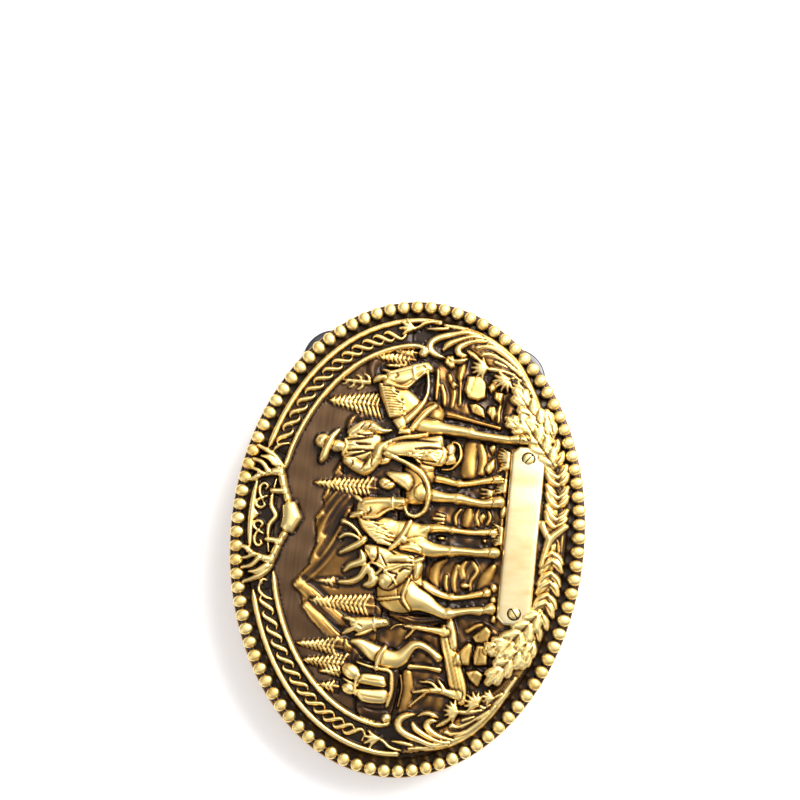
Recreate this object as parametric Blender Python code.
"""Oval western belt buckle: a bowed brass plate with applied relief, a fixed hook and a hinged bail.

The buckle lies on its back. +X is the end with the bail, +Y is the top of the scene, +Z is the face,
and z = 0 is the table that the lugs and the hook stand on. Outlines are in millimetres.
"""

import math

import bmesh
import bpy
from mathutils import Vector

MM = 0.001

# Driving dimensions, in millimetres
HALF_LENGTH = 43.3
HALF_WIDTH = 31.9
BOW_RADIUS = 320.0
BOW_STRIP = 5.0
PLATE_BACK = 9.0
PLATE_THICKNESS = 1.4
GAP = 0.12
RIDGE_INSET = 4.0
RIDGE_TOP = 12.0
GROUND_THICKNESS = 0.7
INNER_RIDGE = (34.5, 24.4)
BEAD_COUNT = 92
BEAD_RADIUS = 1.08
BEAD_NECK = 0.5

NAMEPLATE_CENTRE = (1.8, -20.2)
NAMEPLATE_SIZE = (32.2, 6.1)
NAMEPLATE_CLIP = 1.4
NAMEPLATE_TOP = 13.1
SCREW_OFFSET = 13.9
SCREW_HEAD_RADIUS = 1.0
SCREW_SHANK_RADIUS = 0.55
SCREW_HOLE_RADIUS = 0.75

HINGE_X = 22.0
HINGE_Z = 2.6
BAIL_REACH = 15.3
BAIL_HALF_WIDTH = 22.6
BAIL_BAR = (2.6, 2.2)
BAIL_CORNER = 4.6
BAIL_PIN_CORNER = 2.2
BAIL_PIN_RADIUS = 1.1
BAIL_CLEARANCE = 0.15
LUG_BORE_RADIUS = 1.4
LUG_CENTRE_Y = 12.5
LUG_LENGTH = 6.0
LUG_HALF_DEPTH = 2.7
LUG_HALF_FOOT = 1.6
LUG_FLANGE = 1.4
LUG_FLANGE_THICKNESS = 0.8

HOOK_POST_X = -35.6
HOOK_TIP_X = -26.6
HOOK_SECTION = (3.4, 2.2)
HOOK_BEND = 2.4
HOOK_PAD_HALF = (3.1, 4.2)
HOOK_PAD_THICKNESS = 0.8

PLATE_TOP = PLATE_BACK + PLATE_THICKNESS
GROUND_LOW = PLATE_TOP + GAP
GROUND_TOP = GROUND_LOW + GROUND_THICKNESS
APPLIED_LOW = GROUND_TOP + GAP
RELIEF_TOP = GROUND_TOP + 0.85
FIGURE_LOW = RELIEF_TOP + GAP
OVER_RIDGE = RIDGE_TOP + GAP

BRASS = ((0.60, 0.42, 0.15), 0.36)
DARK_BRASS = ((0.16, 0.10, 0.045), 0.5)
PALE_BRASS = ((0.72, 0.54, 0.24), 0.3)
GUNMETAL = ((0.09, 0.09, 0.095), 0.38)


def clear_scene():
    for obj in list(bpy.data.objects):
        bpy.data.objects.remove(obj, do_unlink=True)


def metal(name, colour, roughness):
    material = bpy.data.materials.get(name) or bpy.data.materials.new(name)
    material.use_nodes = True
    shader = material.node_tree.nodes["Principled BSDF"]
    shader.inputs["Base Color"].default_value = (*colour, 1.0)
    shader.inputs["Metallic"].default_value = 1.0
    shader.inputs["Roughness"].default_value = roughness
    return material


def add_object(name, bm, finish=None):
    """A new object from a bmesh in millimetres."""
    bmesh.ops.recalc_face_normals(bm, faces=bm.faces)
    bmesh.ops.scale(bm, vec=(MM, MM, MM), verts=bm.verts)
    mesh = bpy.data.meshes.new(name)
    bm.to_mesh(mesh)
    bm.free()
    obj = bpy.data.objects.new(name, mesh)
    bpy.context.scene.collection.objects.link(obj)
    if finish:
        obj.data.materials.append(metal(finish[0], *finish[1]))
    return obj


def bowed(x):
    """How far the plate drops, in millimetres, at this distance along its length."""
    return x * x / (2 * BOW_RADIUS)


def bow(obj):
    """Bends the object with the plate: cuts it into strips across its length, then lowers each point."""
    bm = bmesh.new()
    bm.from_mesh(obj.data)
    strips = math.ceil(HALF_LENGTH / BOW_STRIP)
    for index in range(-strips, strips + 1):
        everything = bm.verts[:] + bm.edges[:] + bm.faces[:]
        place = Vector((index * BOW_STRIP * MM, 0, 0))
        bmesh.ops.bisect_plane(bm, geom=everything, dist=1e-7, plane_co=place, plane_no=(1, 0, 0))
    bmesh.ops.triangulate(bm, faces=bm.faces)
    for vert in bm.verts:
        vert.co.z -= bowed(vert.co.x / MM) * MM
    bm.to_mesh(obj.data)
    bm.free()
    return obj


def apply_modifiers(obj):
    graph = bpy.context.evaluated_depsgraph_get()
    mesh = bpy.data.meshes.new_from_object(obj.evaluated_get(graph))
    obj.modifiers.clear()
    obj.data = mesh


def combine(obj, tools, operation):
    """Joins the tools to the object, or cuts them from it, one by one."""
    for tool in tools:
        tool.hide_render = True
        tool.display_type = "WIRE"
        modifier = obj.modifiers.new(operation.lower(), "BOOLEAN")
        modifier.operation = operation
        modifier.solver = "EXACT"
        modifier.object = tool
    apply_modifiers(obj)
    for tool in tools:
        bpy.data.objects.remove(tool, do_unlink=True)
    return obj


def prism(name, outline, low, high, finish=None):
    """An outline in the XY plane, raised from low to high."""
    bm = bmesh.new()
    face = bm.faces.new([bm.verts.new((x, y, low)) for x, y in outline])
    raised = bmesh.ops.extrude_face_region(bm, geom=[face])
    tops = [item for item in raised["geom"] if isinstance(item, bmesh.types.BMVert)]
    bmesh.ops.translate(bm, verts=tops, vec=(0, 0, high - low))
    return add_object(name, bm, finish)


def loft(name, rings, closed, finish=None):
    """A skin over rings of equal count: closed into a loop, or capped at its two ends."""
    bm = bmesh.new()
    made = [[bm.verts.new(point) for point in ring] for ring in rings]
    pairs = list(zip(made, made[1:]))
    if closed:
        pairs.append((made[-1], made[0]))
    for first, second in pairs:
        for index in range(len(first)):
            after = (index + 1) % len(first)
            bm.faces.new((first[index], first[after], second[after], second[index]))
    if not closed:
        bm.faces.new(made[0])
        bm.faces.new(made[-1])
    return add_object(name, bm, finish)


def ellipse(half_x, half_y, count):
    turns = [2 * math.pi * index / count for index in range(count)]
    return [(half_x * math.cos(turn), half_y * math.sin(turn)) for turn in turns]


def cylinder(name, centre, radius, low, high, count=16):
    ring = [(centre[0] + x, centre[1] + y) for x, y in ellipse(radius, radius, count)]
    return prism(name, ring, low, high)


def smooth_points(points, steps):
    """Points along a smooth curve through the given ones."""
    ends = [points[0]] + list(points) + [points[-1]]
    result = []
    for a, b, c, d in zip(ends, ends[1:], ends[2:], ends[3:]):
        for step in range(steps):
            t = step / steps
            result.append(
                tuple(
                    0.5 * (2 * q + (r - p) * t + (2 * p - 5 * q + 4 * r - s) * t * t
                           + (3 * q - p - 3 * r + s) * t ** 3)
                    for p, q, r, s in zip(a, b, c, d)
                )
            )
    result.append(tuple(points[-1]))
    return result


def stroke_outline(points, steps=3):
    """The outline of a stroke through (x, y, width) points."""
    path = smooth_points(points, steps)
    left, right = [], []
    for index, (x, y, width) in enumerate(path):
        before = path[max(index - 1, 0)]
        after = path[min(index + 1, len(path) - 1)]
        along = math.hypot(after[0] - before[0], after[1] - before[1])
        across = (-(after[1] - before[1]) / along, (after[0] - before[0]) / along)
        left.append((x + across[0] * width / 2, y + across[1] * width / 2))
        right.append((x - across[0] * width / 2, y - across[1] * width / 2))
    return left + right[::-1]


def stroke(name, points, low, high, finish=None):
    return prism(name, stroke_outline(points), low, high, finish)


def mirrored(outline, centre=0.0):
    return [(2 * centre - x, y) for x, y in reversed(outline)]


# ---------------------------------------------------------------- plate and border


def make_base_plate():
    """The back plate: (inset from the edge, height) round its section, from the back to the recess."""
    section = [
        (0.5, PLATE_BACK),
        (0.0, PLATE_BACK + 0.4),
        (0.0, PLATE_TOP - 0.1),
        (0.2, PLATE_TOP),
        (RIDGE_INSET - 0.7, PLATE_TOP),
        (RIDGE_INSET - 0.4, RIDGE_TOP - 0.3),
        (RIDGE_INSET, RIDGE_TOP),
        (RIDGE_INSET + 0.4, RIDGE_TOP - 0.3),
        (RIDGE_INSET + 0.6, PLATE_TOP),
    ]
    rings = []
    for inset, height in section:
        points = ellipse(HALF_LENGTH - inset, HALF_WIDTH - inset, 72)
        rings.append([(x, y, height) for x, y in points])
    plate = loft("base_plate", rings, closed=False, finish=("brass", BRASS))
    holes = [
        cylinder("screw_hole", (x, NAMEPLATE_CENTRE[1]), SCREW_HOLE_RADIUS, PLATE_BACK - 1, PLATE_TOP + 1)
        for x in screw_places()
    ]
    combine(plate, holes, "DIFFERENCE")
    return bow(plate)


def even_ellipse_turns(half_x, half_y, count):
    """Turns that place points at equal distances round an ellipse."""
    fine = 3600
    lengths = [0.0]
    previous = (half_x, 0.0)
    for index in range(1, fine + 1):
        turn = 2 * math.pi * index / fine
        point = (half_x * math.cos(turn), half_y * math.sin(turn))
        lengths.append(lengths[-1] + math.dist(previous, point))
        previous = point
    turns, reached = [], 0
    for index in range(count):
        wanted = lengths[-1] * index / count
        while lengths[reached + 1] < wanted:
            reached += 1
        turns.append(2 * math.pi * reached / fine)
    return turns


def make_bead_border():
    """A beaded wire: two rings of points for each bead, one at its middle and one at its neck."""
    half_x = HALF_LENGTH - BEAD_RADIUS
    half_y = HALF_WIDTH - BEAD_RADIUS
    height = PLATE_TOP + GAP + BEAD_RADIUS
    sides = 6
    rings = []
    for index, turn in enumerate(even_ellipse_turns(half_x, half_y, 2 * BEAD_COUNT)):
        radius = BEAD_NECK if index % 2 else BEAD_RADIUS
        outward = Vector((math.cos(turn) / half_x, math.sin(turn) / half_y, 0)).normalized()
        middle = Vector((half_x * math.cos(turn), half_y * math.sin(turn), height))
        ring = []
        for side in range(sides):
            angle = 2 * math.pi * side / sides
            offset = outward * math.cos(angle) + Vector((0, 0, 1)) * math.sin(angle)
            ring.append(tuple(middle + offset * radius))
        rings.append(ring)
    border = loft("bead_border", rings, closed=True, finish=("pale_brass", PALE_BRASS))
    for vert in border.data.vertices:
        vert.co.z -= bowed(vert.co.x / MM) * MM
    return border


# ---------------------------------------------------------------- landscape

LAND_OUTLINE = [
    (-25.0, 7.0), (-22.0, 9.0), (-19.0, 12.8), (-16.0, 16.4), (-13.5, 17.7), (-10.8, 19.1), (-8.0, 17.8),
    (-5.0, 16.7), (-2.5, 16.2), (1.3, 16.5), (3.6, 15.4), (6.5, 15.4), (9.0, 14.0), (13.0, 12.6),
    (19.0, 12.0), (24.0, 9.0), (27.0, 4.0), (30.0, -2.0), (30.6, -8.0), (28.5, -13.0), (23.0, -15.6),
    (12.0, -16.4), (-8.0, -16.4), (-20.0, -15.6), (-26.0, -13.0), (-29.6, -8.0), (-30.6, -2.0), (-28.6, 3.0),
]
PINES = [(-28.0, 9.6, 14.0), (-24.1, 8.0, 16.4), (-21.0, 9.6, 17.6), (-13.4, 5.0, 16.0), (-9.6, 10.6, 15.2),
         (7.6, 6.6, 17.6), (22.9, 6.4, 16.6), (26.8, 9.6, 14.4), (31.2, 1.8, 9.0)]


def pine_outline(x, low, high):
    """A tree that steps in at each tier of branches."""
    tiers = 4
    half = 0.19 * (high - low)
    side = []
    for tier in range(tiers):
        share = tier / tiers
        height = low + (high - low) * share
        side.append((x + half * (1.0 - share), height))
        side.append((x + half * (0.62 - 0.55 * share), height + 0.55 * (high - low) / tiers))
    return side + [(x, high)] + mirrored(side, x)


def make_landscape():
    """The oval ground, with the land and its trees pressed up in it."""
    edge = RIDGE_INSET + 0.6 + 2 * GAP
    ground = prism(
        "landscape_medallion",
        ellipse(HALF_LENGTH - edge, HALF_WIDTH - edge, 64),
        GROUND_LOW, GROUND_TOP, ("dark_brass", DARK_BRASS),
    )
    sunk = GROUND_LOW + 0.3
    reliefs = [prism("land", LAND_OUTLINE, sunk, RELIEF_TOP - 0.2)]
    for index, (x, low, high) in enumerate(PINES):
        reliefs.append(prism("pine", pine_outline(x, low, high), sunk + 0.02 * index, RELIEF_TOP))
    combine(ground, reliefs, "UNION")
    holes = [
        cylinder("screw_hole", (x, NAMEPLATE_CENTRE[1]), SCREW_HOLE_RADIUS, GROUND_LOW - 1, GROUND_TOP + 1)
        for x in screw_places()
    ]
    combine(ground, holes, "DIFFERENCE")
    return bow(ground)


# ---------------------------------------------------------------- rope bands and crest


def make_rope_band(name, start, stop):
    """A band between two ridges, whose floor rises and falls with the twist of the rope."""
    outer = (HALF_LENGTH - RIDGE_INSET - 1.1, HALF_WIDTH - RIDGE_INSET - 1.1)
    twists = 10
    rings = []
    for index in range(2 * twists + 1):
        turn = math.radians(start + (stop - start) * index / (2 * twists))
        floor = APPLIED_LOW + (0.9 if index % 2 else 0.45)
        profile = [
            (0.0, APPLIED_LOW), (0.0, APPLIED_LOW + 1.1), (0.16, APPLIED_LOW + 1.1), (0.3, floor),
            (0.8, floor), (0.88, APPLIED_LOW + 1.3), (1.0, APPLIED_LOW + 1.3), (1.0, APPLIED_LOW),
        ]
        ring = []
        for share, height in profile:
            half_x = outer[0] + (INNER_RIDGE[0] - outer[0]) * share
            half_y = outer[1] + (INNER_RIDGE[1] - outer[1]) * share
            ring.append((half_x * math.cos(turn), half_y * math.sin(turn), height))
        rings.append(ring)
    return bow(loft(name, rings, closed=False, finish=("brass", BRASS)))


CREST_CENTRE = 1.0
CREST_SIDE = [
    (0.0, 19.2), (2.7, 20.8), (3.0, 22.2), (6.0, 22.9), (9.0, 24.1), (9.8, 24.8), (8.4, 25.6), (5.0, 26.2),
    (0.0, 26.6),
]
SHIELD = [(0.0, 19.4), (2.5, 20.9), (2.7, 22.4), (1.4, 23.2), (-1.4, 23.2), (-2.7, 22.4), (-2.5, 20.9)]
CREST_BAR = [(-6.0, 26.7, 0.6), (-3.0, 27.0, 1.2), (3.0, 27.0, 1.2), (6.0, 26.7, 0.6)]
ANTLER = [
    [(1.6, 22.6, 1.3), (5.4, 23.6, 1.1), (8.6, 24.8, 1.0), (10.8, 26.4, 0.8), (12.1, 27.6, 0.4)],
    [(6.4, 23.9, 0.9), (7.2, 26.4, 0.8), (6.2, 28.7, 0.4)],
    [(7.4, 26.2, 0.7), (8.2, 27.6, 0.6), (9.0, 28.4, 0.4)],
    [(5.0, 23.4, 0.8), (4.9, 25.8, 0.5)],
]
CURL = [(1.2, 26.0, 0.5), (2.6, 26.7, 0.8), (4.2, 26.1, 0.7), (4.4, 25.4, 0.4)]


def make_crest():
    """The shield and antlers on a low ground; the antlers and the bar cross the ridge."""
    outline = [(CREST_CENTRE + x, y) for x, y in CREST_SIDE]
    whole = outline + mirrored(outline, CREST_CENTRE)[1:-1]
    crest = prism("antler_crest", whole, APPLIED_LOW, OVER_RIDGE + 0.2, ("brass", BRASS))
    shield = [(CREST_CENTRE + x, y) for x, y in SHIELD]
    raised = [prism("shield", shield, APPLIED_LOW + 0.3, OVER_RIDGE + 1.5)]
    bar = [(CREST_CENTRE + x, y, width) for x, y, width in CREST_BAR]
    for side in (-1, 1):
        for index, branch in enumerate(ANTLER + [CURL]):
            points = [(CREST_CENTRE + side * x, y, width) for x, y, width in branch]
            step = 0.02 * index
            raised.append(stroke("branch", points, OVER_RIDGE + step, OVER_RIDGE + 1.2 - 5 * step))
    raised.append(stroke("bar", bar, OVER_RIDGE, OVER_RIDGE + 0.9))
    combine(crest, raised, "UNION")
    return bow(crest)


# ---------------------------------------------------------------- figures

RIDER_AND_HORSE = [
    (5.9, -0.6), (7.2, 1.0), (8.2, 6.0), (10.4, 6.3), (10.2, 9.4), (11.0, 12.0), (12.6, 13.2), (12.8, 15.0),
    (11.0, 15.6), (11.2, 17.2), (13.5, 17.2), (14.2, 18.3), (16.2, 18.0), (16.6, 16.2), (17.7, 14.8),
    (16.2, 14.2), (16.0, 12.8), (18.0, 11.0), (19.2, 8.4), (18.7, 6.2), (21.0, 6.2), (24.0, 7.3), (26.6, 8.2),
    (27.4, 9.6), (28.6, 8.0), (29.4, 5.6), (31.0, 1.8), (31.4, -0.6), (29.2, -0.9), (28.0, 1.2), (26.6, 3.2),
    (25.0, 1.0), (24.3, -2.0), (23.4, -3.6), (20.8, -4.4), (20.7, -9.0), (20.2, -14.0), (19.8, -18.2),
    (20.4, -19.6), (18.7, -19.4), (18.3, -14.0), (18.6, -9.0), (18.2, -5.2), (16.6, -5.2), (17.2, -6.8),
    (13.6, -7.3), (12.8, -5.2), (12.9, -3.5), (11.0, -3.4), (10.6, -6.5), (10.9, -11.0), (11.8, -15.2),
    (9.8, -14.8), (9.5, -9.0), (8.8, -5.0), (8.0, -9.0), (7.6, -13.0), (8.2, -16.0), (6.6, -16.2),
    (6.4, -11.0), (6.6, -5.5),
]
PACK_HORSE = [
    (-14.3, 1.0), (-13.6, 3.5), (-11.5, 4.3), (-9.8, 4.0), (-8.6, 5.2), (-10.0, 6.0), (-9.9, 10.8),
    (-8.9, 8.0), (-7.4, 7.2), (-7.4, 10.6), (-6.2, 8.0), (-4.6, 8.4), (-3.8, 11.2), (-3.0, 8.4), (-1.5, 8.0),
    (-1.4, 11.4), (-0.4, 9.0), (1.2, 11.2), (1.4, 9.4), (2.0, 10.4), (3.2, 9.9), (5.3, 9.9), (5.3, 8.2),
    (6.3, 5.6), (6.3, 2.4), (6.0, 1.0), (4.4, 0.7), (4.0, 2.6), (2.6, 4.8), (2.3, 2.0), (2.2, -1.5),
    (1.7, -3.6), (1.9, -8.5), (2.0, -14.4), (2.9, -15.9), (0.9, -16.0), (0.8, -13.5), (0.6, -8.0),
    (-0.4, -4.2), (-0.9, -8.0), (-1.1, -12.5), (-1.0, -16.4), (-3.1, -16.4), (-3.0, -12.5), (-3.2, -8.0),
    (-3.9, -3.6), (-6.5, -2.8), (-8.7, -3.2), (-9.7, -6.5), (-10.3, -10.0), (-9.2, -14.0), (-8.5, -15.3),
    (-10.0, -15.5), (-11.2, -11.5), (-11.4, -8.6), (-12.0, -9.6), (-11.7, -13.5), (-10.9, -16.3),
    (-12.9, -16.3), (-13.2, -12.0), (-14.0, -8.6), (-13.2, -5.6), (-12.9, -3.0), (-14.2, -1.0),
]
PACK_MULE = [
    (-30.4, 1.0), (-30.3, 5.5), (-29.4, 6.3), (-29.2, 8.0), (-27.8, 9.0), (-25.0, 9.1), (-23.8, 8.0),
    (-24.0, 6.2), (-22.4, 7.4), (-19.6, 8.0), (-18.9, 9.4), (-17.8, 8.0), (-16.5, 9.6), (-15.7, 8.6),
    (-15.4, 5.2), (-15.4, 2.2), (-16.4, 1.7), (-17.5, 2.8), (-18.4, 5.2), (-19.3, 3.0), (-20.0, 0.2),
    (-19.2, -1.8), (-18.8, -4.4), (-20.0, -7.2), (-21.2, -8.0), (-22.0, -7.3), (-20.7, -4.2), (-22.4, -2.4),
    (-22.9, -6.0), (-22.9, -8.2), (-24.2, -8.2), (-24.0, -3.0), (-24.4, -0.6), (-28.6, -0.6), (-30.0, -0.4),
]


def make_figure(name, outline, height):
    """A cast figure: its outline raised to a flat body."""
    return bow(prism(name, outline, FIGURE_LOW, FIGURE_LOW + height, ("brass", BRASS)))


# ---------------------------------------------------------------- leaf work

SCROLL = [
    (-27.9, -17.0, 0.7), (-31.6, -13.6, 1.6), (-33.8, -9.6, 2.3), (-34.5, -5.4, 2.6), (-33.0, -2.4, 1.8),
    (-31.9, -3.8, 0.9),
]
OAK_SPRAY = [
    (-23.8, -18.4, 2.2), (-20.0, -21.0, 3.8), (-15.6, -25.0, 2.8), (-8.0, -26.0, 2.8), (1.4, -26.4, 2.2),
]
OAK_LOBES = 9


def make_scroll(name, side):
    outline = stroke_outline(SCROLL)
    if side > 0:
        outline = mirrored(outline)
    return bow(prism(name, outline, APPLIED_LOW, APPLIED_LOW + 1.5, ("brass", BRASS)))


def make_oak_spray(name, side):
    """A garland whose width swells at each leaf."""
    path = smooth_points(OAK_SPRAY, 2 * OAK_LOBES // (len(OAK_SPRAY) - 1))
    swelling = [(x, y, width * (1.0 if index % 2 else 0.72)) for index, (x, y, width) in enumerate(path)]
    outline = stroke_outline(swelling, 1)
    if side > 0:
        outline = mirrored(outline, NAMEPLATE_CENTRE[0])
    return bow(prism(name, outline, OVER_RIDGE, OVER_RIDGE + 1.3, ("pale_brass", PALE_BRASS)))


# ---------------------------------------------------------------- nameplate


def screw_places():
    return [NAMEPLATE_CENTRE[0] - SCREW_OFFSET, NAMEPLATE_CENTRE[0] + SCREW_OFFSET]


def make_nameplate():
    half_x, half_y = NAMEPLATE_SIZE[0] / 2, NAMEPLATE_SIZE[1] / 2
    clip = NAMEPLATE_CLIP
    corner = [(half_x, -half_y + clip), (half_x, half_y - clip), (half_x - clip, half_y)]
    outline = corner + mirrored(corner) + [(-half_x + clip, -half_y), (half_x - clip, -half_y)]
    placed = [(NAMEPLATE_CENTRE[0] + x, NAMEPLATE_CENTRE[1] + y) for x, y in outline]
    plate = prism("nameplate", placed, APPLIED_LOW, NAMEPLATE_TOP, ("pale_brass", PALE_BRASS))
    holes = [
        cylinder("screw_hole", (x, NAMEPLATE_CENTRE[1]), SCREW_HOLE_RADIUS, APPLIED_LOW - 1,
                 NAMEPLATE_TOP + 1)
        for x in screw_places()
    ]
    combine(plate, holes, "DIFFERENCE")
    return bow(plate)


def make_screw(name, x):
    """A round-headed screw with a slot, its shank through the nameplate, the ground and the plate."""
    drop = bowed(x)
    seat = NAMEPLATE_TOP - drop + 0.1
    bottom = PLATE_BACK - drop + 0.2
    sides = 16
    section = [
        (SCREW_SHANK_RADIUS, bottom), (SCREW_SHANK_RADIUS, seat), (SCREW_HEAD_RADIUS, seat),
        (SCREW_HEAD_RADIUS, seat + 0.3), (SCREW_HEAD_RADIUS * 0.7, seat + 0.5),
    ]
    centre_y = NAMEPLATE_CENTRE[1]
    rings = []
    for radius, height in section:
        rings.append([(x + px, centre_y + py, height) for px, py in ellipse(radius, radius, sides)])
    screw = loft(name, rings, closed=False, finish=("pale_brass", PALE_BRASS))
    slot = prism("slot", [(x - 2, centre_y - 0.13), (x + 2, centre_y - 0.13),
                          (x + 2, centre_y + 0.13), (x - 2, centre_y + 0.13)], seat + 0.25, seat + 1)
    return combine(screw, [slot], "DIFFERENCE")


# ---------------------------------------------------------------- hook


def make_hook_base():
    """A pad that follows the back of the plate under the hook's post."""
    outline = [(HOOK_POST_X + x, y) for x, y in ellipse(*HOOK_PAD_HALF, 20)]
    top = PLATE_BACK - GAP
    return bow(prism("hook_base", outline, top - HOOK_PAD_THICKNESS, top, ("brass", BRASS)))


def rounded_section(half_a, half_b, chamfer):
    """Eight points round a section with chamfered corners."""
    points = []
    for a, b in ((1, 1), (-1, 1), (-1, -1), (1, -1)):
        pair = [(a * half_a, b * (half_b - chamfer)), (a * (half_a - chamfer), b * half_b)]
        points += pair if a * b > 0 else pair[::-1]
    return points


def make_hook():
    """A bar that drops from the pad and bends inwards, under the belt's end."""
    half_wide, half_thick = HOOK_SECTION[0] / 2, HOOK_SECTION[1] / 2
    pad_low = PLATE_BACK - bowed(HOOK_POST_X - half_thick) - GAP - HOOK_PAD_THICKNESS
    low = half_thick
    path = [(HOOK_POST_X, pad_low - GAP)]
    centre = (HOOK_POST_X + HOOK_BEND, low + HOOK_BEND)
    steps = 6
    for step in range(steps + 1):
        angle = math.pi + math.pi / 2 * step / steps
        path.append((centre[0] + HOOK_BEND * math.cos(angle), centre[1] + HOOK_BEND * math.sin(angle)))
    path.append((HOOK_TIP_X - 1.0, low))
    path.append((HOOK_TIP_X, low))
    rings = []
    for index, (x, z) in enumerate(path):
        before, after = path[max(index - 1, 0)], path[min(index + 1, len(path) - 1)]
        along = Vector((after[0] - before[0], 0, after[1] - before[1])).normalized()
        across = Vector((along.z, 0, -along.x))
        last = index == len(path) - 1
        shrink = 0.6 if last else 1.0
        ring = []
        for wide, thick in rounded_section(half_wide * shrink, half_thick * shrink, 0.5 * shrink):
            ring.append(tuple(Vector((x, 0, z)) + Vector((0, wide, 0)) + across * thick))
        rings.append(ring)
    return loft("hook", rings, closed=False, finish=("brass", BRASS))


# ---------------------------------------------------------------- bail and its lugs


def make_lug(name, centre_y):
    """An eye with a flange at the plate, a bore for the bail and a flat foot."""
    wide = LUG_HALF_DEPTH + LUG_FLANGE
    top = PLATE_BACK - bowed(HINGE_X + wide) - GAP
    outline = [
        (wide, top), (wide, top - LUG_FLANGE_THICKNESS), (LUG_HALF_DEPTH, top - LUG_FLANGE),
        (LUG_HALF_DEPTH, HINGE_Z), (LUG_HALF_DEPTH * 0.9, 1.2), (LUG_HALF_FOOT, 0.0),
    ]
    section = outline + mirrored(outline)
    half = LUG_LENGTH / 2
    rings = [[(HINGE_X + x, centre_y + y, z) for x, z in section] for y in (-half, half)]
    lug = loft(name, rings, closed=False, finish=("brass", BRASS))
    circle = ellipse(LUG_BORE_RADIUS, LUG_BORE_RADIUS, 24)
    reach = half + 1
    bore = loft("bore", [[(HINGE_X + x, centre_y + y, HINGE_Z + z) for x, z in circle]
                         for y in (-reach, reach)], closed=False)
    return combine(lug, [bore], "DIFFERENCE")


def bail_slope():
    """The angle at which the bail's far bar lies on the table."""
    return math.asin((HINGE_Z - BAIL_BAR[1] / 2 - BAIL_CLEARANCE) / (BAIL_REACH - BAIL_BAR[0] / 2))


def make_bail():
    """A flat loop with round corners, whose near bar is the pin that turns in the lugs."""
    far = BAIL_REACH - BAIL_BAR[0] / 2
    side = BAIL_HALF_WIDTH - BAIL_BAR[0] / 2
    path = []

    def corner(centre_x, centre_y, radius, start):
        steps = 5
        for step in range(steps + 1):
            angle = math.radians(start + 90 * step / steps)
            path.append((centre_x + radius * math.cos(angle), centre_y + radius * math.sin(angle)))

    corner(BAIL_PIN_CORNER, -side + BAIL_PIN_CORNER, BAIL_PIN_CORNER, 180)
    corner(far - BAIL_CORNER, -side + BAIL_CORNER, BAIL_CORNER, 270)
    corner(far - BAIL_CORNER, side - BAIL_CORNER, BAIL_CORNER, 0)
    corner(BAIL_PIN_CORNER, side - BAIL_PIN_CORNER, BAIL_PIN_CORNER, 90)
    rings = []
    for index, (x, y) in enumerate(path):
        before, after = path[index - 1], path[(index + 1) % len(path)]
        along = Vector((after[0] - before[0], after[1] - before[1], 0)).normalized()
        outward = Vector((along.y, -along.x, 0))
        pin = x < 0.5
        half_a, half_b = (BAIL_PIN_RADIUS, BAIL_PIN_RADIUS) if pin else (BAIL_BAR[0] / 2, BAIL_BAR[1] / 2)
        chamfer = BAIL_PIN_RADIUS * (2 - math.sqrt(2)) if pin else 0.35
        ring = []
        for a, b in rounded_section(half_a, half_b, chamfer):
            ring.append(tuple(Vector((x, y, 0)) + outward * a + Vector((0, 0, 1)) * b))
        rings.append(ring)
    bail = loft("bail", rings, closed=True, finish=("gunmetal", GUNMETAL))
    hinge = bpy.data.objects.new("bail_hinge_axis", None)
    bpy.context.scene.collection.objects.link(hinge)
    hinge.location = (HINGE_X * MM, 0, HINGE_Z * MM)
    hinge.rotation_euler = (0, bail_slope(), 0)
    bail.parent = hinge
    return bail


def main():
    clear_scene()
    make_base_plate()
    make_bead_border()
    make_landscape()
    make_rope_band("rope_band_right", 3, 68)
    make_rope_band("rope_band_left", 112, 177)
    make_crest()
    make_figure("rider_and_horse", RIDER_AND_HORSE, 2.0)
    make_figure("pack_horse", PACK_HORSE, 1.7)
    make_figure("pack_mule", PACK_MULE, 1.5)
    for side, word in ((-1, "left"), (1, "right")):
        make_scroll(f"scroll_{word}", side)
        make_oak_spray(f"oak_spray_{word}", side)
    make_nameplate()
    for word, x in zip(("left", "right"), screw_places()):
        make_screw(f"nameplate_screw_{word}", x)
    make_hook_base()
    make_hook()
    make_lug("bail_lug_upper", LUG_CENTRE_Y)
    make_lug("bail_lug_lower", -LUG_CENTRE_Y)
    make_bail()
    bpy.context.view_layer.update()


main()
